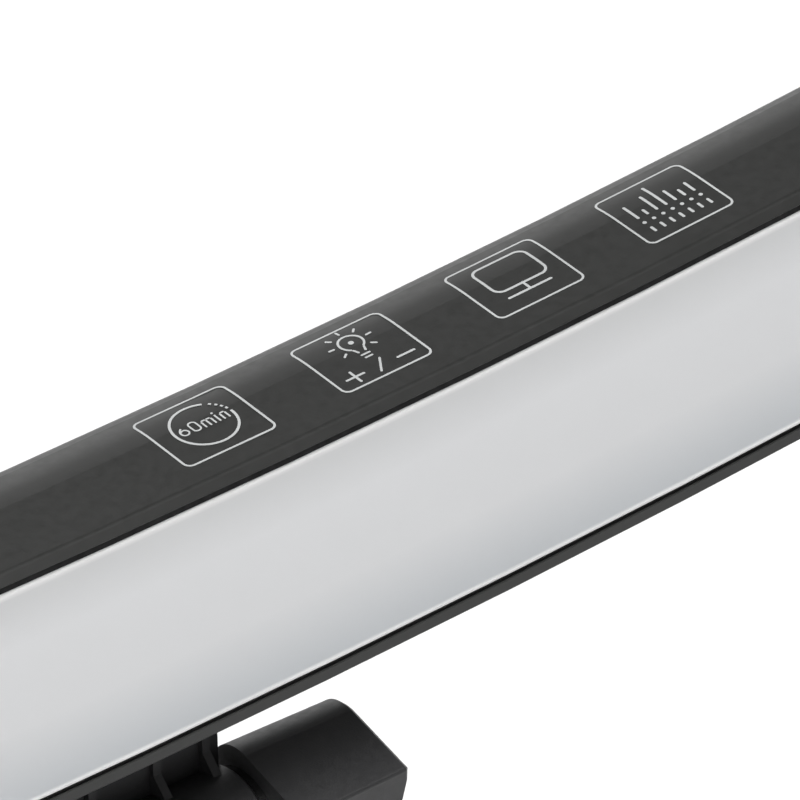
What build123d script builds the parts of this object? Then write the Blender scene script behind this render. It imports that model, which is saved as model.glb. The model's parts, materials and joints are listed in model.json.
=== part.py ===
"""Curved monitor light bar on a gravity clamp. Millimetres, +X along the bar, +Y to the back, +Z up.

The origin is the centre of the rubber seat, on the top edge of the monitor. At rest the bar stands
above the hinge with its touch keys facing up; in use it is turned 90 degrees forward about the hinge.
"""

import math
import os

from build123d import *

# ---- driving dimensions -------------------------------------------------------------------------
BEND_R = 1500.0  # curvature of the bar, measured at the diffuser's upper edge
BAR_HALF = 240.0  # half of the bar's arc length, end caps included
CAP_T = 4.0  # visible thickness of an end cap
REF_Y, REF_Z = -6.0, 66.0  # the diffuser's upper edge, at the middle of the bar
TOP = 1.5  # height of the key panel above that edge
WALL = 1.5
CROWN_R = 22.0  # gentle fall of the key panel towards the back
BACK_R = 4.5  # rounding between the key panel and the back
BACK_Y, BACK_Z = 14.75, -3.55  # centre of that rounding
KEY_PITCH = 20.5
KEY_X0 = 19.2  # first key, from the middle of the bar
KEY_L, KEY_W = 11.55, 10.1
KEY_MID = 4.8  # middle of the key frames, behind the base line of their marks
KEY_Y = 4.4  # base line of the marks, behind the diffuser's upper edge
LINE = 0.26  # width of the printed lines
PRINT_T = 0.05
HINGE_Y, HINGE_Z = -4.0, 20.7
BARREL_R = 7.0
SHAFT_R = 2.5
RUN_FIT = 0.05  # radial clearance of a shaft in its running bore
NECK_HALF = 16.9
NOTCH_HALF = 18.0
CLAMP_HALF = 32.4  # at the top of the clamp
BODY_HALF = 30.5  # below the draft of its ends
REAR_HALF = 27.0
LEG_HALF = 20.0
PIVOT_Y, PIVOT_Z = 19.0, 5.4
HEAD_R = 4.8
PIN_R = 1.5
LEG_TILT = 15.0  # the closed leg leans this far under the clamp
LEG_LEN = 62.0

BEND_AXIS = Axis((0, 0, REF_Z + BEND_R), (0, 1, 0))
DIFF = (-0.2205, -0.9754)  # down the diffuser, as (y, z)
INTO = (0.9754, -0.2205)  # from the diffuser into the bar
SLANT0 = (18.2, -12.0)  # upper end of the slanted back face
SLANT = (-0.4522, -0.8919)
SLANT_OUT = (0.8919, -0.4522)


# ---- helpers ------------------------------------------------------------------------------------
def bar_pt(y, z):
    """A point of the bar's section, counted from the diffuser's upper edge."""
    return (REF_Y + y, REF_Z + z)


def lamp_pt(a, b):
    """A point of the section, a down the diffuser and b into the bar."""
    return bar_pt(a * DIFF[0] + b * INTO[0], a * DIFF[1] + b * INTO[1])


def slant_pt(a, b):
    """A point of the section, a down the slanted back face and b out of it."""
    return bar_pt(
        SLANT0[0] + a * SLANT[0] + b * SLANT_OUT[0],
        SLANT0[1] + a * SLANT[1] + b * SLANT_OUT[1],
    )


def section(points):
    """A face in the YZ plane at x = 0; a point (y, z, via_y, via_z) is reached by an arc."""
    edges = []
    last = points[-1]
    for point in points:
        start, goal = (0, last[0], last[1]), (0, point[0], point[1])
        if len(point) == 4:
            edges.append(ThreePointArc(start, (0, point[2], point[3]), goal))
        else:
            edges.append(Line(start, goal))
        last = point
    return make_face(edges)


def bar_section(points):
    """A section given in the bar's own points, arcs included."""
    shifted = []
    for point in points:
        pair = bar_pt(point[0], point[1])
        if len(point) == 4:
            pair += bar_pt(point[2], point[3])
        shifted.append(pair)
    return section(shifted)


def bent(shape, s):
    """The shape moved along the curved bar by s."""
    return shape.rotate(BEND_AXIS, -math.degrees(s / BEND_R))


def swept(face, s0, s1):
    """The section carried along the curved bar from s0 to s1."""
    return revolve(bent(face, s0), BEND_AXIS, -math.degrees((s1 - s0) / BEND_R))


def extruded(face, x0, x1):
    """The section extruded along X from x0 to x1."""
    return extrude(face.moved(Location((x0, 0, 0))), amount=x1 - x0, dir=(1, 0, 0))


def rod(y, z, r, x0, x1):
    """A cylinder along X."""
    place = Location(((x0 + x1) / 2, y, z), (0, 90, 0))
    return place * Cylinder(r, abs(x1 - x0))


def block(x0, x1, y0, y1, z0, z1):
    """A box given by its limits."""
    place = Location(((x0 + x1) / 2, (y0 + y1) / 2, (z0 + z1) / 2))
    return place * Box(x1 - x0, y1 - y0, z1 - z0)


def save(name, *solids):
    """Write one node's solids to its STEP file."""
    flat = []
    for item in solids:
        flat.extend(item.solids())
    shape = flat[0] if len(flat) == 1 else Compound(children=flat)
    export_step(shape, "parts/" + name + ".step")


def screw(r, length, head_r, head_t):
    """A pan-head screw along +Z, its head's underside at z = 0."""
    shank = Location((0, 0, length / 2)) * Cylinder(r, length)
    head = Location((0, 0, -head_t / 2)) * Cylinder(head_r, head_t)
    slot = Location((0, 0, -head_t)) * Box(head_r * 1.3, 0.5, 0.8)
    cross = Location((0, 0, -head_t)) * Box(0.5, head_r * 1.3, 0.8)
    return shank + head - slot - cross


os.makedirs("parts", exist_ok=True)


# ---- bar: covers --------------------------------------------------------------------------------
BAR_LOW = -25.6  # underside of the bar, below the diffuser's upper edge
DIFF_TOP, DIFF_FOOT = 0.25, 23.6  # upper and lower edge of the diffuser's face
LIP_TOP = 24.25  # upper edge of the housing's lip
CREASE = [(0.86, 1.29), (1.5, TOP, 1.16, 1.45)]  # chamfer into panel, softly rounded
CROWN_Z = TOP - CROWN_R  # height of the crown's centre
CROWN_Y = BACK_Y - math.sqrt((CROWN_R - BACK_R) ** 2 - (BACK_Z - CROWN_Z) ** 2)
CROWN_TURN = math.asin((BACK_Y - CROWN_Y) / (CROWN_R - BACK_R))  # where it meets the rounding
INNER_R, INNER_Y, INNER_Z = 4.0, 13.75, -4.0  # rounding inside the wall


def arc_pt(y, z, r, turn):
    """A point of a circle, turned backwards from its top."""
    return (y + r * math.sin(turn), z + r * math.cos(turn))


def crown_arc(out):
    """The crowned part of the panel, raised by out, as the end and middle point of its arc."""
    r = CROWN_R + out
    return arc_pt(CROWN_Y, CROWN_Z, r, CROWN_TURN) + arc_pt(CROWN_Y, CROWN_Z, r, CROWN_TURN / 2)


def outer_top():
    """Front edge of the cover, its chamfer, the key panel, its crown and the back rounding."""
    middle = (CROWN_TURN + math.pi / 2) / 2
    pts = [(0.0, 0.72), *CREASE, (CROWN_Y, TOP), crown_arc(0.0)]
    return [*pts, (BACK_Y + BACK_R, BACK_Z) + arc_pt(BACK_Y, BACK_Z, BACK_R, middle)]


def outer_points():
    """The bar's whole outline, from the front edge of the top cover round to the lower lip."""
    pts = [*outer_top(), (19.0, -6.05), SLANT0]
    pts += [(11.6, BAR_LOW + 0.6), (10.7, BAR_LOW), (-4.9, BAR_LOW), (-5.5, BAR_LOW + 0.6)]
    return pts


def top_cover():
    """The panel with the touch keys, its front chamfer and its rounded back edge."""
    pts = [(0.08, 0.6), *outer_top(), (19.0, -6.0), (19.0 - WALL, -6.0)]
    pts += [(INNER_Y + INNER_R, INNER_Z)]
    pts += [(INNER_Y, TOP - WALL) + arc_pt(INNER_Y, INNER_Z, INNER_R, math.pi / 4)]
    pts += [(3.2, TOP - WALL), (2.7, 0.5)]
    return swept(bar_section(pts), -BAR_HALF + CAP_T, BAR_HALF - CAP_T)


def rear_housing():
    """Back, underside and lower lip, with the ambient light's window and the USB-C cut-out."""
    low = LIP_TOP
    floor = BAR_LOW + 1.45
    outer = [bar_pt(19.0, -6.1), bar_pt(*SLANT0), bar_pt(11.6, BAR_LOW + 0.6), bar_pt(10.7, BAR_LOW)]
    outer += [bar_pt(-4.9, BAR_LOW), bar_pt(-5.5, BAR_LOW + 0.6)]
    outer += [lamp_pt(low + 0.15, 0.0), lamp_pt(low, 0.15)]
    inner = [lamp_pt(low, 0.8), lamp_pt(low + 0.5, 0.8), lamp_pt(low + 0.5, 2.0), bar_pt(-2.9, floor)]
    inner += [bar_pt(10.4, floor), slant_pt(0.4, -WALL), bar_pt(19.0 - WALL, -6.1)]
    end = BAR_HALF - CAP_T
    body = swept(section(outer + inner), -end, end)
    window = [slant_pt(3.5, 1.0), slant_pt(12.0, 1.0), slant_pt(12.0, -3.0), slant_pt(3.5, -3.0)]
    body -= swept(section(window), -RGB_HALF, RGB_HALF)
    for side in (-1, 1):
        for y, z, r in END_BOSSES:
            boss = rod(REF_Y + y, REF_Z + z, r, -9 * side, 0)
            boss -= rod(REF_Y + y, REF_Z + z, 0.95, -9 * side, side)
            body += bent(boss, side * end)
    for x in NECK_SCREW_X:
        y, z = bar_pt(2.6, floor - 0.3)
        body += Location((x, y, z + 1.0)) * Cylinder(2.4, 2.0)
        body -= Location((x, y, z)) * Cylinder(1.05, 8.0)
    body -= bent(usb_block(0.15, 6.0, 4.0), USB_S)
    return body


# ---- bar: lights --------------------------------------------------------------------------------
RGB_HALF = 224.0
LED_HALF = 228.0
END_BOSSES = [(14.9, -9.0, 2.6), (9.9, -22.7, 2.1)]
NECK_SCREW_X = (-12.0, 12.0)
USB_S = -62.0


def front_diffuser():
    """Opal diffuser: rounded face, a small turned-out edge below and a hook behind the lip."""
    top, foot, hook = DIFF_TOP, DIFF_FOOT, LIP_TOP + 0.4
    pts = [lamp_pt(top + 0.4, 0.0) + lamp_pt(top + 0.12, 0.12)]
    pts += [lamp_pt(foot - 0.5, 0.0) + lamp_pt(foot / 2, -0.5)]
    pts += [lamp_pt(foot - 0.2, -0.2) + lamp_pt(foot - 0.3, -0.07), lamp_pt(foot, -0.2)]
    pts += [lamp_pt(foot, 0.95), lamp_pt(hook, 0.95), lamp_pt(hook, 1.75)]
    pts += [lamp_pt(top, 1.75), lamp_pt(top, 0.4)]
    end = BAR_HALF - CAP_T
    return swept(section(pts), -end, end)


def diffuser_gasket():
    """Black foam strips that close the gaps above and below the diffuser."""
    end = BAR_HALF - CAP_T
    strips = []
    for a0, a1, b1 in ((-0.5, DIFF_TOP - 0.03, 1.7), (DIFF_FOOT + 0.03, LIP_TOP - 0.03, 0.9)):
        pts = [lamp_pt(a0, 0.35), lamp_pt(a1, 0.35), lamp_pt(a1, b1), lamp_pt(a0, b1)]
        strips.append(swept(section(pts), -end, end))
    return strips


def reflector_tray():
    """White folded tray from the diffuser's edges back to the LED board."""
    pts = [(0.7, 1.85), (5.6, 11.9), (18.2, 11.9), (23.3, 1.85)]
    pts += [(22.6, 1.85), (17.8, 11.3), (6.0, 11.3), (1.4, 1.85)]
    end = BAR_HALF - CAP_T - 0.5
    return swept(section([lamp_pt(a, b) for a, b in pts]), -end, end)


def led_board():
    """Aluminium-backed board on the floor of the tray."""
    pts = [(6.8, 10.2), (17.0, 10.2), (17.0, 11.25), (6.8, 11.25)]
    return swept(section([lamp_pt(a, b) for a, b in pts]), -LED_HALF, LED_HALF)


def led(a0, a1, b0, b1, half, place):
    """One LED package, half long each way along the bar."""
    corners = [place(a0, b0), place(a1, b0), place(a1, b1), place(a0, b1)]
    return extruded(section(corners), -half, half)


def front_leds():
    """LED packages at an even pitch."""
    first = led(10.5, 13.3, 9.45, 10.19, 1.75, lamp_pt)
    return [bent(first, -LED_HALF + 6 + 12 * i) for i in range(38)]


def rear_diffuser():
    """Frosted strip of the ambient light, flush in its window, with an inner rim."""
    pts = [(3.6, 0.0), (11.9, 0.0), (11.9, -1.65), (12.9, -1.65), (12.9, -2.4)]
    pts += [(2.6, -2.4), (2.6, -1.65), (3.6, -1.65)]
    core = [(3.6, 0.0), (11.9, 0.0), (11.9, -2.4), (3.6, -2.4)]
    rim = section([slant_pt(a, b) for a, b in [(2.6, -1.65), (12.9, -1.65), (12.9, -2.4), (2.6, -2.4)]])
    body = swept(section([slant_pt(a, b) for a, b in core]), -RGB_HALF + 0.1, RGB_HALF - 0.1)
    return body + swept(rim, -RGB_HALF - 0.8, RGB_HALF + 0.8)


def rear_strip():
    """Flexible board of the ambient light."""
    pts = [(4.6, -4.4), (10.8, -4.4), (10.8, -4.7), (4.6, -4.7)]
    return swept(section([slant_pt(a, b) for a, b in pts]), -RGB_HALF + 3, RGB_HALF - 3)


def rear_leds():
    """Square colour LEDs on the flexible board."""
    first = led(6.0, 9.4, -4.4, -3.5, 1.7, slant_pt)
    return [bent(first, -210 + 17.5 * i) for i in range(25)]


# ---- bar: touch keys and electronics ------------------------------------------------------------
def print_layer():
    """Thin layer that follows the key panel, from which the prints are cut."""
    low, high = PRINT_GAP, PRINT_GAP + PRINT_T
    crown = arc_pt(CROWN_Y, CROWN_Z, CROWN_R + high, CROWN_TURN)
    middle = crown_arc(high)[2:]
    pts = [(3.0, TOP + low), (CROWN_Y, TOP + low), crown_arc(low), crown]
    pts += [(CROWN_Y, TOP + high) + middle, (3.0, TOP + high)]
    return swept(bar_section(pts), -8.0, 8.0)


PRINT_GAP = 0.012
PRINT_LAYER = print_layer()


def on_panel(sketch, s):
    """A print on the key panel: its x is along the bar, its y is away from the diffuser."""
    y, z = bar_pt(KEY_Y, TOP - 2)
    body = extrude(sketch, amount=4, dir=(0, 0, 1)).moved(Location((0, y, z)))
    return bent(body & PRINT_LAYER, s)


def stroke(x0, y0, x1, y1, w=LINE):
    """A straight printed line with round ends."""
    length = math.hypot(x1 - x0, y1 - y0)
    turn = math.degrees(math.atan2(y1 - y0, x1 - x0))
    return Location(((x0 + x1) / 2, (y0 + y1) / 2), turn) * SlotCenterToCenter(length, w)


def ring(x, y, r, w=LINE):
    """A printed circle."""
    return Location((x, y)) * (Circle(r + w / 2) - Circle(r - w / 2))


def rounded_frame(x, y, w, h, r, line=LINE):
    """A printed rounded rectangle, given by its centre and size."""
    outer = RectangleRounded(w + line, h + line, r + line / 2)
    inner = RectangleRounded(w - line, h - line, r - line / 2)
    return Location((x, y)) * (outer - inner)


def key_frame():
    """The frame round each key."""
    return [rounded_frame(0, KEY_MID, KEY_L, KEY_W, 0.85)]


def arc_band(x, y, r, a0, a1, w=LINE):
    """A printed arc between two angles in degrees."""
    rims = []
    for rim in (r + w / 2, r - w / 2):
        turns = [math.radians(a) for a in (a0, (a0 + a1) / 2, a1)]
        rims.append([(x + rim * math.cos(t), y + rim * math.sin(t)) for t in turns])
    outer, inner = rims
    ends = [Line(outer[2], inner[2]), Line(inner[0], outer[0])]
    return make_face([ThreePointArc(*outer), ends[0], ThreePointArc(*reversed(inner)), ends[1]])


def icon_timer():
    """Ring of a timer, dashed at its upper right, with the time 60min inside."""
    cx, cy, r = 0.1, 4.95, 3.65
    marks = [arc_band(cx, cy, r, 58, 364, 0.3)]
    marks += [arc_band(cx, cy, r, a - 2.6, a + 2.6) for a in (14, 24, 34, 45)]
    low, mid, high, w = 4.4, 5.5, 6.05, 0.2
    marks += [ring(-2.4, low + 0.5, 0.46, w) + arc_band(-1.9, low + 0.5, 0.96, 118, 180, w)]
    marks += [rounded_frame(-0.95, (low + high) / 2, 0.9, high - low, 0.42, w)]
    for x in (0.0, 0.62, 1.24, 2.4, 3.02):
        marks.append(stroke(x, low, x, mid - 0.2, w))
    for x0, x1 in ((0.15, 0.5), (0.77, 1.1), (2.55, 2.9)):
        marks.append(stroke(x0, mid, x1, mid, w))
    marks += [stroke(1.82, low, 1.82, mid, w), Location((1.82, high - 0.05)) * Circle(0.14)]
    return marks


def icon_bulb():
    """A bulb with seven rays, and the signs plus, slash and minus."""
    cx, cy, r = 0.15, 6.75, 1.4
    marks = [arc_band(cx, cy, r, -58, 238), Location((cx, cy)) * Circle(0.32)]
    for side in (-1, 1):
        marks.append(stroke(cx + side * 0.68, cy - 1.35, cx + side * 0.46, cy - 1.95))
    marks += [stroke(cx - 0.5, 4.2, cx + 0.5, 4.2), stroke(cx - 0.4, 3.6, cx + 0.4, 3.6)]
    for k in range(7):
        t = math.radians(90 + 43 * (k - 3))
        x, y = math.cos(t), math.sin(t)
        marks.append(stroke(cx + 2.15 * x, cy + 2.15 * y, cx + 2.7 * x, cy + 2.7 * y))
    marks += [stroke(-4.3, 1.55, -2.1, 1.55, 0.3) + stroke(-3.2, 0.55, -3.2, 2.55, 0.3)]
    marks += [stroke(-0.45, 0.65, 0.8, 2.65), stroke(2.35, 1.5, 4.5, 1.5, 0.3)]
    return marks


def icon_screen():
    """A monitor on its stand."""
    screen = rounded_frame(0.3, 6.05, 7.0, 5.1, 1.1, 0.32)
    stand = stroke(0.15, 3.55, 0.15, 2.2, 0.32) + stroke(-2.7, 2.15, 2.9, 2.15, 0.32)
    return [screen + stand]


def icon_equaliser():
    """Seven bars of an equaliser over a row of dots and a row of dashes."""
    marks = []
    tops = (7.1, 5.4, 7.5, 8.7, 6.65, 5.75, 6.3)
    for i, top in enumerate(tops):
        x = 0.07 + 1.29 * (i - 3)
        marks.append(stroke(x, 4.5, x, top - 0.15, 0.34))
        marks.append(Location((x, 3.38)) * Circle(0.24))
        marks.append(stroke(x, 1.5, x, 2.2, 0.34))
    return marks


def icon_prints():
    """All the printed marks of the four keys."""
    solids = []
    icons = (icon_timer, icon_bulb, icon_screen, icon_equaliser)
    for i, icon in enumerate(icons):
        for mark in key_frame() + icon():
            solids.append(on_panel(mark, KEY_X0 + KEY_PITCH * i))
    return solids


def touch_board():
    """Board under the key panel."""
    pts = [(4.6, -0.55), (13.4, -0.55), (13.4, -1.55), (4.6, -1.55)]
    start, end = KEY_X0 - 12, KEY_X0 + 3 * KEY_PITCH + 12
    return swept(section([bar_pt(y, z) for y, z in pts]), start, end)


def touch_pads():
    """Copper sensing pads between the board and the panel, one per key."""
    y, z = bar_pt(KEY_Y + KEY_MID - 0.25, -0.29)
    pad = Location((0, y, z)) * Box(9.0, 7.6, 0.48)
    return [bent(pad, KEY_X0 + KEY_PITCH * i) for i in range(4)]


def control_board():
    """Driver board behind the tray, with its chips."""
    y, z = bar_pt(13.5, -11.7)
    board = Location((0, y, z)) * Box(56.0, 5.0, 1.0)
    return bent(board, USB_S + 12)


def control_chips():
    """Packages on the driver board."""
    y, z = bar_pt(13.3, -10.6)
    chip = Location((0, y, z)) * Box(5.0, 4.0, 1.2)
    coil = Location((0, y, z + 0.5)) * Box(4.5, 4.4, 2.2)
    return [bent(chip, USB_S + 12), bent(chip, USB_S + 32), bent(coil, USB_S + 21)]


def usb_block(grow, y_out, y_in):
    """Outer shape of the USB-C socket, grown all round, reaching out of and into the wall."""
    y, z = bar_pt(18.4, -9.55)
    flat = Plane(origin=(0, y + y_out, z), x_dir=(1, 0, 0), z_dir=(0, -1, 0))
    shape = flat * RectangleRounded(8.94 + 2 * grow, 3.2 + 2 * grow, 1.55 + grow)
    return extrude(shape, amount=y_out + y_in)


def usb_socket():
    """USB-C socket: steel shell, hollow, with its tongue."""
    y, z = bar_pt(18.4, -9.55)
    shell = usb_block(0, 0.0, 7.2)
    shell -= usb_block(-0.3, 1.0, 6.6)
    tongue = block(-3.3, 3.3, y - 7.0, y - 1.0, z - 0.35, z + 0.35)
    return bent(shell + tongue, USB_S)


# ---- bar: ends ----------------------------------------------------------------------------------
def end_cap(side):
    """End cap with the bar's outline, rounded on the outside, and a plug inside."""
    end = BAR_HALF
    face = bar_section(outer_points())
    cap = extruded(face, min(0, side * CAP_T), max(0, side * CAP_T))
    rim = cap.faces().sort_by(Axis.X)[-1 if side > 0 else 0].edges()
    cap = bent(fillet(rim, 0.7), side * (end - CAP_T))
    for y, z, _ in END_BOSSES:
        hole = rod(REF_Y + y, REF_Z + z, 1.2, -7 * side, 3 * side)
        seat = rod(REF_Y + y, REF_Z + z, 2.1, -2.65 * side, 3 * side)
        cap -= bent(hole + seat, side * end)
    return cap


def end_cap_screws():
    """Two screws through each end cap into the housing."""
    solids = []
    for side in (-1, 1):
        for y, z, _ in END_BOSSES:
            place = Location((-2.6 * side, REF_Y + y, REF_Z + z), (0, -90 * side, 0))
            solids.append(bent(place * screw(0.9, 7.0, 1.9, 0.9), side * BAR_HALF))
    return solids


# ---- neck ---------------------------------------------------------------------------------------
NECK_FRONT = 3.5  # front face of the neck plate, behind the hinge axis
RIB_X = (-14.8, -8.4, 0.0, 8.4, 14.8)


def neck_bracket():
    """Flange under the bar, plate with ribs, and the barrel of the hinge."""
    top = REF_Z + BAR_LOW
    front, back = HINGE_Y + NECK_FRONT, HINGE_Y + BARREL_R
    body = rod(HINGE_Y, HINGE_Z, BARREL_R, -NECK_HALF, NECK_HALF)
    body = chamfer(body.edges().filter_by(GeomType.CIRCLE), 0.4)
    plate = [(front, HINGE_Z), (back, HINGE_Z), (back, top), (front, top)]
    body += extruded(section(plate), -NECK_HALF, NECK_HALF)
    flange = [(REF_Y - 1.0, top), (back, top), (back, top - 2.2), (REF_Y - 1.0, top - 2.2)]
    body += extruded(section(flange), -NECK_HALF, NECK_HALF)
    for x in RIB_X:
        rib = [(front + 0.2, top - 1.0), (front + 0.2, HINGE_Z + 4.0)]
        rib += [(HINGE_Y + 0.7, HINGE_Z + 4.0), (HINGE_Y + 0.7, HINGE_Z + 6.95)]
        rib += [(front - 0.8, HINGE_Z + 9.0), (front - 0.8, top - 1.0)]
        body += extruded(section(rib), x - 0.5, x + 0.5)
    body -= rod(HINGE_Y, HINGE_Z, SHAFT_R + RUN_FIT, -30, 30)
    for x in NECK_SCREW_X:
        body -= Location((x, REF_Y + 2.6, top)) * Cylinder(1.4, 10.0)
    return body


def neck_screws():
    """Screws from below through the flange into the bar."""
    z = REF_Z + BAR_LOW - 2.2
    return [Location((x, REF_Y + 2.6, z)) * screw(1.0, 5.4, 2.2, 1.3) for x in NECK_SCREW_X]


# ---- clamp --------------------------------------------------------------------------------------
FRONT_Y = -13.8
LIP_IN = -11.4
BASE_Z = 1.0
LIP_LOW = -9.0
CLAMP_SCREWS = [(-25.6, -8.0), (25.6, -8.0), (-22.6, 8.2), (22.6, 8.2)]
DRAFT_Z = 26.2  # the ends draw in from here
DRAFT_LOW = 19.5  # to here
LIP_HALF = 27.0
EDGE = 0.5
SHELL_T = 2.0
TOP_LIFT = 0.45  # the knuckles' rounded top falls by this much towards their ends


def clamp_outline(lift):
    """Side view of the clamp's body without the front lip; lift raises its rounded top."""
    y, z = 0.67 * lift, 0.74 * lift
    pts = [(FRONT_Y, BASE_Z), (FRONT_Y, 26.3), (FRONT_Y + 0.4, 26.85, FRONT_Y + 0.1, 26.7)]
    pts += [(-4.2 + y, 28.84 + z), (1.86 + y, 23.95 + z, y, 27.84 + z)]
    pts += [(1.86, 17.5), (9.0, 14.5), (21.0, 8.6), (24.3, 5.4), (24.3, BASE_Z)]
    return pts


def clamp_cavity():
    """Side view of the hollow inside the body, open below."""
    pts = [(LIP_IN, BASE_Z - 5), (LIP_IN, 25.2), (-4.4, 26.7), (0.2, 23.6), (0.3, 16.0)]
    pts += [(8.2, 12.5), (11.0, 11.2), (11.0, BASE_Z - 5)]
    return pts


def notch(half, grow):
    """Gap for the hinge barrel and the neck, open above, in front and behind."""
    gap = rod(HINGE_Y, HINGE_Z, BARREL_R + 0.9 + grow, -half, half)
    return gap + block(-half, half, -40, 60, HINGE_Z - 2.6 - grow, 60)


def clamp_end(s):
    """One end of the body: its top falls outwards, its edges are broken, its side draws in."""
    low = section(clamp_outline(0.0))
    inner_face = section(clamp_outline(TOP_LIFT)).moved(Location((s * NOTCH_HALF, 0, 0)))
    edge_face = low.moved(Location((s * (CLAMP_HALF - EDGE), 0, 0)))
    end_face = offset(low, amount=-EDGE, kind=Kind.INTERSECTION).moved(Location((s * CLAMP_HALF, 0, 0)))
    end = loft([inner_face, edge_face], ruled=True) + loft([edge_face, end_face], ruled=True)
    draft = [(s * CLAMP_HALF, DRAFT_Z), (s * BODY_HALF, DRAFT_LOW), (s * BODY_HALF, -5)]
    draft += [(s * 40, -5), (s * 40, DRAFT_Z)]
    end -= extrude(Plane.XZ * make_face(Polyline(draft, close=True)), amount=60, both=True)
    front = end.edges().filter_by(lambda e: s * e.center().X > BODY_HALF - 0.1)
    return fillet(front.filter_by(lambda e: e.center().Y < FRONT_Y + 0.1), 0.3)


def clamp_shell():
    """Body of the clamp: two knuckles, the front lip and two cheeks for the leg."""
    outer = extruded(section(clamp_outline(TOP_LIFT)), -NOTCH_HALF, NOTCH_HALF)
    for s in (-1, 1):
        outer += clamp_end(s)
    lip = [(FRONT_Y, BASE_Z + 1), (LIP_IN, BASE_Z + 1), (LIP_IN, LIP_LOW)]
    lip += [(-12.6, LIP_LOW - 0.9), (FRONT_Y, LIP_LOW)]
    outer += extruded(section(lip), -LIP_HALF, LIP_HALF)
    for s in (-1, 1):
        x0, x1 = sorted((s * REAR_HALF, s * 40))
        outer -= block(x0, x1, 13.5, 40, -20, 40)
    cavity = extruded(section(clamp_cavity()), -BODY_HALF + SHELL_T, BODY_HALF - SHELL_T)
    for s in (-1, 1):
        x0, x1 = sorted((s * (REAR_HALF - SHELL_T), s * 40))
        cavity -= block(x0, x1, 11.0, 40, -20, 40)
    body = outer - cavity + (outer & notch(NOTCH_HALF + SHELL_T, SHELL_T))
    body -= notch(NOTCH_HALF, 0.0)
    body -= block(-LEG_HALF - 0.3, LEG_HALF + 0.3, 13.2, 40, -20, 40)
    for x, y in CLAMP_SCREWS:
        x0, x1 = sorted((x - math.copysign(2.3, x), x + math.copysign(3.4, x)))
        body += block(x0, x1, y - 2.3, y + 2.3, 3.05, 12)
        body -= Location((x, y, 5.0)) * Cylinder(1.0, 10.0)
    body -= rod(HINGE_Y, HINGE_Z, SHAFT_R + 0.02, -NOTCH_HALF - 3, NOTCH_HALF + 3)
    body -= rod(PIVOT_Y, PIVOT_Z, PIN_R + 0.02, -REAR_HALF + 1.5, REAR_HALF - 1.5)
    return body


def clamp_base():
    """Plate that closes the clamp from below."""
    gap = 0.15
    x = BODY_HALF - SHELL_T - gap
    plate = block(-x, x, LIP_IN + gap, 11.0 - gap, BASE_Z, BASE_Z + 2.0)
    for cx, cy in CLAMP_SCREWS:
        plate -= Location((cx, cy, 2.0)) * Cylinder(1.25, 6.0)
        plate -= Location((cx, cy, BASE_Z + 0.4)) * Cylinder(2.2, 1.8)
    return plate


def clamp_screws():
    """Screws of the base plate, their heads sunk in it."""
    return [Location((x, y, BASE_Z + 1.3)) * screw(0.95, 7.0, 2.0, 1.1) for x, y in CLAMP_SCREWS]


def hinge_shaft():
    """Friction shaft of the hinge with its head."""
    x = NOTCH_HALF + SHELL_T
    body = rod(HINGE_Y, HINGE_Z, SHAFT_R, -x - 5.5, x + 0.1)
    return body + rod(HINGE_Y, HINGE_Z, 3.9, x + 0.1, x + 2.4)


def hinge_nut():
    """Nut on the far end of the shaft."""
    x = NOTCH_HALF + SHELL_T
    flat = Plane(origin=(-x - 4.6, HINGE_Y, HINGE_Z), x_dir=(0, 1, 0), z_dir=(1, 0, 0))
    nut = extrude(flat * RegularPolygon(3.9, 6), amount=3.0)
    return nut - rod(HINGE_Y, HINGE_Z, SHAFT_R + 0.01, -40, 0)


def disc_spring():
    """Disc spring that sets the friction of the hinge."""
    x = NOTCH_HALF + SHELL_T
    ring_ = rod(HINGE_Y, HINGE_Z, 3.9, -x - 1.5, -x - 0.05)
    return ring_ - rod(HINGE_Y, HINGE_Z, SHAFT_R + 0.1, -40, 0)


def friction_washers():
    """Plastic discs between the barrel and the knuckles."""
    solids = []
    for s in (-1, 1):
        x0, x1 = sorted((s * (NECK_HALF + 0.1), s * (NOTCH_HALF - 0.02)))
        disc = rod(HINGE_Y, HINGE_Z, BARREL_R - 0.7, x0, x1)
        solids.append(disc - rod(HINGE_Y, HINGE_Z, SHAFT_R + 0.05, x0 - 1, x1 + 1))
    return solids


def seat_pad():
    """Rubber seat on the top edge of the monitor."""
    pad = block(-22, 22, -9.6, 9.6, 0.0, BASE_Z)
    return fillet(pad.edges().filter_by(Axis.Z), 2.0)


def lip_pad():
    """Rubber strip on the inside of the front lip."""
    pad = block(-24, 24, LIP_IN, LIP_IN + 1.0, LIP_LOW + 1.0, -0.6)
    return fillet(pad.edges().filter_by(Axis.Y), 1.5)


# ---- leg ----------------------------------------------------------------------------------------
def closed(shape):
    """A leg piece, made upright, leaned to the closed position."""
    return shape.rotate(Axis((0, PIVOT_Y, PIVOT_Z), (1, 0, 0)), -LEG_TILT)


LEG_FRONT = -3.6  # faces of the leg, counted from its pivot
LEG_BACK = 4.8
SPRING_HALF = 6.0


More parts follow.
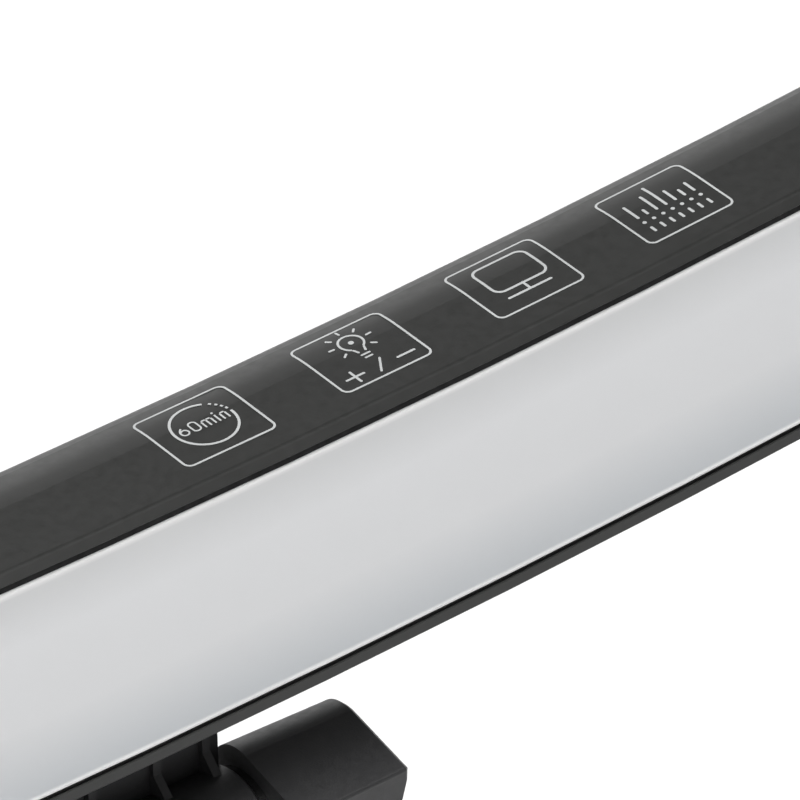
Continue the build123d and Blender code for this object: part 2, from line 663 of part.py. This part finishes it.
def leg_shell():
    """Front half of the leg with the pivot head."""
    y0, y1 = PIVOT_Y + LEG_FRONT, PIVOT_Y + LEG_BACK
    head = rod(PIVOT_Y, PIVOT_Z, HEAD_R, -LEG_HALF, LEG_HALF)
    slab = block(-LEG_HALF, LEG_HALF, y0, y1 - 1.4, PIVOT_Z - LEG_LEN, PIVOT_Z)
    slab = fillet(slab.edges().filter_by(Axis.Y).group_by(Axis.Z)[0], 7.0)
    slab = fillet(slab.faces().sort_by(Axis.Y)[0].edges(), 1.2)
    head = chamfer(head.edges().filter_by(GeomType.CIRCLE), 0.6)
    body = head + slab
    body -= block(-LEG_HALF + 1.8, LEG_HALF - 1.8, y0 + 1.8, y1, PIVOT_Z - LEG_LEN + 8.5, PIVOT_Z - 8.5)
    body -= block(-SPRING_HALF - 0.3, SPRING_HALF + 0.3, y0 - 5, y1 + 5, PIVOT_Z - 4.6, PIVOT_Z + 6)
    body -= rod(PIVOT_Y, PIVOT_Z, PIN_R + RUN_FIT, -30, 30)
    for x, z in LEG_SCREWS:
        body -= Location((x, y1 - 3.0, z), (90, 0, 0)) * Cylinder(0.95, 5.0)
    return closed(body)


LEG_SCREWS = [(-14.0, PIVOT_Z - 6.4), (14.0, PIVOT_Z - 6.4), (0.0, PIVOT_Z - LEG_LEN + 4.6)]


def leg_cover():
    """Back cover of the leg."""
    y1 = PIVOT_Y + LEG_BACK
    plate = block(-LEG_HALF, LEG_HALF, y1 - 1.35, y1, PIVOT_Z - LEG_LEN, PIVOT_Z - 4.9)
    plate = fillet(plate.edges().filter_by(Axis.Y).group_by(Axis.Z)[0], 7.0)
    plate = fillet(plate.faces().sort_by(Axis.Y)[-1].edges(), 0.6)
    for x, z in LEG_SCREWS:
        plate -= Location((x, y1, z), (90, 0, 0)) * Cylinder(1.15, 6.0)
        plate -= Location((x, y1, z), (90, 0, 0)) * Cylinder(2.0, 1.7)
    return closed(plate)


def leg_screws():
    """Screws of the back cover, heads sunk in it."""
    y = PIVOT_Y + LEG_BACK - 0.85
    return [closed(Location((x, y, z), (90, 0, 0)) * screw(0.9, 4.2, 1.8, 0.75)) for x, z in LEG_SCREWS]


def counterweight():
    """Steel weight inside the leg."""
    y0, y1 = PIVOT_Y + LEG_FRONT + 1.85, PIVOT_Y + LEG_BACK - 1.5
    return closed(block(-17.5, 17.5, y0, y1, PIVOT_Z - LEG_LEN + 9.0, PIVOT_Z - 26.0))


def rear_pad():
    """Soft pad that presses on the back of the monitor."""
    y = PIVOT_Y + LEG_FRONT
    pad = block(-14, 14, y - 2.4, y, PIVOT_Z - LEG_LEN + 5.0, PIVOT_Z - LEG_LEN + 19.0)
    pad = fillet(pad.edges().filter_by(Axis.Y), 3.0)
    pad = fillet(pad.faces().sort_by(Axis.Y)[0].edges(), 0.8)
    return closed(pad)


def leg_pin():
    """Pin of the leg, held in the cheeks."""
    return rod(PIVOT_Y, PIVOT_Z, PIN_R, -REAR_HALF + 1.6, REAR_HALF - 1.6)


def leg_spring():
    """Torsion spring round the pin, coils only."""
    wire = 0.7
    path = Helix(pitch=0.95, height=2 * SPRING_HALF - 2.4, radius=2.35)
    start = Plane(origin=path @ 0, z_dir=path % 0)
    coil = sweep(start * Circle(wire / 2), path=path)
    place = Location((-SPRING_HALF + 1.2, PIVOT_Y, PIVOT_Z), (0, 90, 0))
    return place * coil


# ---- the parts ----------------------------------------------------------------------------------
save("top_cover", top_cover())
save("rear_housing", rear_housing())
save("front_diffuser", front_diffuser())
save("diffuser_gasket", *diffuser_gasket())
save("reflector_tray", reflector_tray())
save("led_board", led_board())
save("front_leds", *front_leds())
save("rear_diffuser", rear_diffuser())
save("rear_strip", rear_strip())
save("rear_leds", *rear_leds())
save("icon_prints", *icon_prints())
save("touch_board", touch_board())
save("touch_pads", *touch_pads())
save("control_board", control_board())
save("control_chips", *control_chips())
save("usb_socket", usb_socket())
save("end_cap_left", end_cap(-1))
save("end_cap_right", end_cap(1))
save("end_cap_screws", *end_cap_screws())
save("neck_bracket", neck_bracket())
save("neck_screws", *neck_screws())
save("clamp_shell", clamp_shell())
save("clamp_base", clamp_base())
save("clamp_screws", *clamp_screws())
save("hinge_shaft", hinge_shaft())
save("hinge_nut", hinge_nut())
save("disc_spring", disc_spring())
save("friction_washers", *friction_washers())
save("seat_pad", seat_pad())
save("lip_pad", lip_pad())
save("leg_shell", leg_shell())
save("leg_cover", leg_cover())
save("leg_screws", *leg_screws())
save("counterweight", counterweight())
save("rear_pad", rear_pad())
save("leg_pin", leg_pin())
save("leg_spring", leg_spring())
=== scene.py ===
"""Looks of the curved monitor light bar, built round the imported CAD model. Metres, in the CAD frame."""

import json
import math

import bpy
from mathutils import Matrix, Vector


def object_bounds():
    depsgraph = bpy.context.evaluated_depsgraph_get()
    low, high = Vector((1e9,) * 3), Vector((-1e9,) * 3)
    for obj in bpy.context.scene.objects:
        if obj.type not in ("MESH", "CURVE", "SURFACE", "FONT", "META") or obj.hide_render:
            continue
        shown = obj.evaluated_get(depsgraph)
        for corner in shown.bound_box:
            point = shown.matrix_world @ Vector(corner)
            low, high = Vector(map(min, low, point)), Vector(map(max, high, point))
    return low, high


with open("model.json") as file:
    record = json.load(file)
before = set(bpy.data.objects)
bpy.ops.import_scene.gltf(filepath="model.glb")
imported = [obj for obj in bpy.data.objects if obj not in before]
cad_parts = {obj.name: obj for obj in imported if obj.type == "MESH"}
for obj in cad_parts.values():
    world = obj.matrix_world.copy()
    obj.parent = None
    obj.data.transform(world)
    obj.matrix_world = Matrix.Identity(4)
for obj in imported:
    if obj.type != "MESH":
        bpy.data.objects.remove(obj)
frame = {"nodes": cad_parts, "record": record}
CAD_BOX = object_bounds()
NODES = frame["nodes"]

MM = 0.001
BEND_R = 1500 * MM  # curvature of the bar at the diffuser's upper edge
REF_Z = 66 * MM  # height of the diffuser's upper edge, at the middle of the bar
DIFF_LEN = 23.6 * MM  # height of the diffuser's face
BEND_Z = REF_Z + BEND_R  # height of the bend axis


# ---- camera and stage ---------------------------------------------------------------------------
VIEW_AZIMUTH = 36.94  # degrees to the left of straight in front
VIEW_ELEVATION = 35.09
VIEW_ROLL = 1.01
VIEW_DISTANCE = 0.8635
VIEW_AIM = Vector((0.0382, -0.0054, 0.0672))
LENS_MM = 372.4
SENSOR_MM = 36.0
CLIP_START = 0.02

FLOOR_DROP = 0.10  # the floor lies this far below the lowest point of the lamp
FLOOR_HALF = 6.0
FLOOR_TONE = 0.93
FLOOR_ROUGH = 0.9

HAZE_TOP = 0.45  # sine of the height where the bright horizon has faded
HORIZON, OVERHEAD = 0.85, 0.12  # strength of the surround

# name, place, point it faces, width and height, watts
LIGHTS = (
    ("key", (-0.8, -0.6, 1.2), (0, 0, 0.03), (1.2, 1.2), 5),
    ("top", (-0.3, -0.1, 1.5), (-0.1, 0, 0), (1.4, 1.4), 33),
    ("back", (0.5, 1.4, 0.42), (0, 0, 0.05), (2.0, 0.6), 5),
)


def add_camera():
    """Long-lens camera, in front of the lamp, to the left of it and above it."""
    az, el = math.radians(VIEW_AZIMUTH), math.radians(VIEW_ELEVATION)
    back = Vector((-math.sin(az) * math.cos(el), -math.cos(az) * math.cos(el), math.sin(el)))
    right = Vector((math.cos(az), -math.sin(az), 0.0))
    up = back.cross(right)
    turn = Matrix((right, up, back)).transposed() @ Matrix.Rotation(-math.radians(VIEW_ROLL), 3, "Z")
    data = bpy.data.cameras.new("camera")
    data.lens = LENS_MM
    data.sensor_width = SENSOR_MM
    data.clip_start = CLIP_START
    camera = bpy.data.objects.new("camera", data)
    camera.matrix_world = Matrix.Translation(VIEW_AIM + back * VIEW_DISTANCE) @ turn.to_4x4()
    bpy.context.scene.collection.objects.link(camera)
    bpy.context.scene.camera = camera


def add_floor():
    """Plain pale floor."""
    z = CAD_BOX[0][2] - FLOOR_DROP
    half = FLOOR_HALF
    mesh = bpy.data.meshes.new("floor")
    corners = [(-half, -half, z), (half, -half, z), (half, half, z), (-half, half, z)]
    mesh.from_pydata(corners, [], [(0, 1, 2, 3)])
    floor = bpy.data.objects.new("floor", mesh)
    bpy.context.scene.collection.objects.link(floor)
    material = bpy.data.materials.new("floor")
    material.use_nodes = True
    shader = material.node_tree.nodes["Principled BSDF"]
    shader.inputs["Base Color"].default_value = (FLOOR_TONE, FLOOR_TONE, FLOOR_TONE, 1)
    shader.inputs["Roughness"].default_value = FLOOR_ROUGH
    mesh.materials.append(material)


def add_light(name, place, aim, size, power):
    """Rectangular soft box at place, turned to aim."""
    data = bpy.data.lights.new(name, "AREA")
    data.shape = "RECTANGLE"
    data.size, data.size_y = size
    data.energy = power
    light = bpy.data.objects.new(name, data)
    direction = Vector(aim) - Vector(place)
    light.matrix_world = Matrix.Translation(place) @ direction.to_track_quat("-Z", "Y").to_matrix().to_4x4()
    bpy.context.scene.collection.objects.link(light)


def add_surround():
    """White surround, bright at the horizon and dim overhead."""
    world = bpy.data.worlds.new("world")
    world.use_nodes = True
    tree = world.node_tree
    direction = tree.nodes.new("ShaderNodeSeparateXYZ")
    tree.links.new(tree.nodes.new("ShaderNodeTexCoord").outputs["Generated"], direction.inputs["Vector"])
    fade = tree.nodes.new("ShaderNodeMapRange")
    fade.interpolation_type = "SMOOTHSTEP"
    fade.inputs["From Min"].default_value = 0.0
    fade.inputs["From Max"].default_value = HAZE_TOP
    fade.inputs["To Min"].default_value = HORIZON
    fade.inputs["To Max"].default_value = OVERHEAD
    tree.links.new(direction.outputs["Z"], fade.inputs["Value"])
    tree.links.new(fade.outputs["Result"], tree.nodes["Background"].inputs["Strength"])
    tree.nodes["Background"].inputs["Color"].default_value = (1, 1, 1, 1)
    bpy.context.scene.world = world


# ---- materials ----------------------------------------------------------------------------------
NOISE_LOW, NOISE_HIGH = 0.3, 0.7  # the part of a noise's 0 to 1 that drives a tone or a value


class Recipe:
    """A procedural material under construction: its node tree and its shader.

    A noise's scale is in waves per metre, and a bump's distance in metres.
    """

    def __init__(self, name, color, rough, metallic=0.0):
        self.material = bpy.data.materials.new(name)
        self.material.use_nodes = True
        self.tree = self.material.node_tree
        self.shader = self.tree.nodes["Principled BSDF"]
        self.set("Base Color", (*color, 1.0))
        self.set("Roughness", rough)
        self.set("Metallic", metallic)
        self.place = self.tree.nodes.new("ShaderNodeTexCoord").outputs["Object"]

    def set(self, socket, value):
        self.shader.inputs[socket].default_value = value

    def noise(self, scale, detail=2.0, stretch=None):
        """Noise in object space, with its axes scaled by stretch if given."""
        node = self.tree.nodes.new("ShaderNodeTexNoise")
        node.inputs["Scale"].default_value = scale
        node.inputs["Detail"].default_value = detail
        source = self.place
        if stretch:
            mapping = self.tree.nodes.new("ShaderNodeMapping")
            mapping.inputs["Scale"].default_value = stretch
            self.tree.links.new(source, mapping.inputs["Vector"])
            source = mapping.outputs["Vector"]
        self.tree.links.new(source, node.inputs["Vector"])
        return node.outputs["Fac"]

    def spread(self, factor, low, high, socket):
        """Drive a shader value between low and high by a noise."""
        node = self.tree.nodes.new("ShaderNodeMapRange")
        node.inputs["From Min"].default_value = NOISE_LOW
        node.inputs["From Max"].default_value = NOISE_HIGH
        node.inputs["To Min"].default_value = low
        node.inputs["To Max"].default_value = high
        self.tree.links.new(factor, node.inputs["Value"])
        self.tree.links.new(node.outputs["Result"], self.shader.inputs[socket])

    def depth(self, height):
        """0 at the diffuser's upper edge to 1 at the given height below it, all along the bend."""
        mapping = self.tree.nodes.new("ShaderNodeMapping")
        mapping.inputs["Location"].default_value = (0, 0, -BEND_Z)
        mapping.inputs["Scale"].default_value = (1, 0, 1)
        self.tree.links.new(self.place, mapping.inputs["Vector"])
        radius = self.tree.nodes.new("ShaderNodeVectorMath")
        radius.operation = "LENGTH"
        self.tree.links.new(mapping.outputs["Vector"], radius.inputs[0])
        node = self.tree.nodes.new("ShaderNodeMapRange")
        node.inputs["From Min"].default_value = BEND_R
        node.inputs["From Max"].default_value = BEND_R + height
        self.tree.links.new(radius.outputs["Value"], node.inputs["Value"])
        return node.outputs["Result"]

    def ramp(self, factor, stops):
        """Blend the base colour through several tones."""
        node = self.tree.nodes.new("ShaderNodeValToRGB")
        elements = node.color_ramp.elements
        while len(elements) < len(stops):
            elements.new(0.5)
        for element, (position, color) in zip(elements, stops):
            element.position = position
            element.color = (*color, 1)
        self.tree.links.new(factor, node.inputs["Fac"])
        self.tree.links.new(node.outputs["Color"], self.shader.inputs["Base Color"])

    def tint(self, factor, dark, light):
        """Blend the base colour between two tones by a noise."""
        self.ramp(factor, ((NOISE_LOW, dark), (NOISE_HIGH, light)))

    def bump(self, factor, strength, distance):
        """Give the surface a grain: a strength of 0 to 1, over the distance that full strength means."""
        node = self.tree.nodes.new("ShaderNodeBump")
        node.inputs["Strength"].default_value = strength
        node.inputs["Distance"].default_value = distance
        self.tree.links.new(factor, node.inputs["Height"])
        self.tree.links.new(node.outputs["Normal"], self.shader.inputs["Normal"])


def shell_grey():
    """Satin gunmetal-grey moulding of the bar."""
    m = Recipe("shell_grey", (0.0135, 0.0138, 0.0129), 0.38)
    m.tint(m.noise(60), (0.0125, 0.0128, 0.0119), (0.0145, 0.0148, 0.0139))
    m.spread(m.noise(900, 3), 0.34, 0.42, "Roughness")
    m.bump(m.noise(6000, 2), 0.10, 0.04 * MM)
    return m.material


def black_plastic():
    """Finely textured black moulding of the clamp."""
    m = Recipe("black_plastic", (0.024, 0.024, 0.025), 0.48)
    m.tint(m.noise(80), (0.021, 0.021, 0.022), (0.027, 0.027, 0.028))
    m.spread(m.noise(1200, 3), 0.40, 0.52, "Roughness")
    m.bump(m.noise(4500, 3), 0.25, 0.05 * MM)
    return m.material


# tones down the diffuser's face: OPAL_MID is the opal's own tone, the rest are painted light, a painted
# highlight at the upper edge and on the foot bead and painted shade below the upper edge and towards the
# bottom
OPAL_RIM_HIGHLIGHT = (0.74, 0.74, 0.74)
OPAL_TOP_SHADE = (0.575, 0.58, 0.585)
OPAL_MID = (0.665, 0.67, 0.68)
OPAL_LOW_SHADE = (0.52, 0.54, 0.56)
OPAL_FOOT_HIGHLIGHT = (0.67, 0.66, 0.64)

# how far down the diffuser's face, 0 to 1, and the tone there: a painted highlight at the upper edge, painted
# shade just below it, the opal's own tone in the middle, painted shade towards the bottom and a painted
# highlight on the foot bead
OPAL_PAINTED_LIGHT_STOPS = (
    (0.0, OPAL_RIM_HIGHLIGHT),
    (0.022, OPAL_RIM_HIGHLIGHT),
    (0.04, OPAL_TOP_SHADE),
    (0.25, OPAL_MID),
    (0.62, OPAL_MID),
    (0.95, OPAL_LOW_SHADE),
    (0.975, OPAL_FOOT_HIGHLIGHT),
)


def opal():
    """Opal acrylic with a matt face, its base colour carrying painted highlights at the upper edge and the
    foot and painted shade below the upper edge and towards the bottom.
    """
    m = Recipe("opal", OPAL_MID, 0.45)
    # painted light: the base colour runs down the face through painted highlights and painted shade
    m.ramp(m.depth(DIFF_LEN), OPAL_PAINTED_LIGHT_STOPS)
    m.set("Subsurface Weight", 0.35)
    m.set("Subsurface Radius", (1.0, 1.0, 1.0))
    m.set("Subsurface Scale", 2 * MM)
    m.spread(m.noise(2000, 2), 0.42, 0.50, "Roughness")
    m.bump(m.noise(5000, 2), 0.06, 0.03 * MM)
    return m.material


def frosted():
    """Frosted strip of the ambient light."""
    m = Recipe("frosted", (0.78, 0.79, 0.80), 0.55)
    m.tint(m.noise(25), (0.76, 0.77, 0.78), (0.80, 0.81, 0.82))
    m.set("Subsurface Weight", 0.3)
    m.set("Subsurface Scale", 1.5 * MM)
    m.bump(m.noise(4000, 2), 0.12, 0.04 * MM)
    return m.material


TONE_SWING = 0.08  # share by which a plain material's tone varies either way
GLOSS_SWING = 0.15  # share by which its roughness does
TOOL_DARK = 0.85  # tone of steel in its darkest places, as a share of its own
TOOL_LINES = (8, 1, 1)  # scale that packs the steel's noise into lines


def plain(name, color, rough, metallic=0.0, grain=2500, strength=0.12):
    """A material with fine grain in its tone, gloss and surface."""
    m = Recipe(name, color, rough, metallic)
    dark = tuple(c * (1 - TONE_SWING) for c in color)
    light = tuple(min(1, c * (1 + TONE_SWING)) for c in color)
    m.tint(m.noise(120), dark, light)
    m.spread(m.noise(grain / 3, 3), rough * (1 - GLOSS_SWING), min(1, rough * (1 + GLOSS_SWING)), "Roughness")
    m.bump(m.noise(grain, 3), strength, 0.04 * MM)
    return m.material


def turned_steel(name, color, rough):
    """Steel with fine lines left by the cutting tool."""
    m = Recipe(name, color, rough, 1.0)
    m.tint(m.noise(200, 3), tuple(c * TOOL_DARK for c in color), color)
    m.bump(m.noise(700, 2, stretch=TOOL_LINES), 0.15, 0.03 * MM)
    return m.material


MATERIALS = {
    "shell_grey": shell_grey(),
    "black_plastic": black_plastic(),
    "opal": opal(),
    "frosted": frosted(),
    "reflector": plain("reflector", (0.85, 0.85, 0.85), 0.25),
    "board_metal": plain("board_metal", (0.78, 0.78, 0.78), 0.4),
    "led_amber": plain("led_amber", (0.85, 0.70, 0.25), 0.3),
    "board_flex": plain("board_flex", (0.72, 0.72, 0.70), 0.5),
    "led_white": plain("led_white", (0.80, 0.80, 0.78), 0.3),
    "print_grey": plain("print_grey", (0.41, 0.42, 0.42), 0.5, grain=6000),
    "board_green": plain("board_green", (0.015, 0.09, 0.05), 0.35),
    "copper": plain("copper", (0.80, 0.42, 0.26), 0.3, 1.0),
    "chip": plain("chip", (0.02, 0.02, 0.02), 0.45),
    "steel": turned_steel("steel", (0.55, 0.55, 0.56), 0.28),
    "screw_black": turned_steel("screw_black", (0.06, 0.06, 0.065), 0.35),
    "washer": plain("washer", (0.010, 0.010, 0.010), 0.16, strength=0.04),
    # near-black foam gaskets along the diffuser's edges: real strips, with a tone set this dark so that they
    # stand in for the shadow in the gaps there, painted shade in part
    "foam": plain("foam", (0.008, 0.008, 0.008), 0.9, grain=3000, strength=0.5),
    "soft": plain("soft", (0.025, 0.025, 0.026), 0.75, grain=1800, strength=0.4),
    "weight": plain("weight", (0.30, 0.30, 0.30), 0.45, 1.0),
}


def dress_cad():
    """Give each CAD node its procedural material."""
    slots = {row["node"]: row["material_slot"] for row in frame["record"]["subparts"]}
    for name, node in NODES.items():
        for slot in node.material_slots:
            slot.material = MATERIALS[slots[name]]


dress_cad()
add_camera()
add_floor()
add_surround()
for row in LIGHTS:
    add_light(*row)
bpy.context.scene.view_settings.view_transform = "Standard"
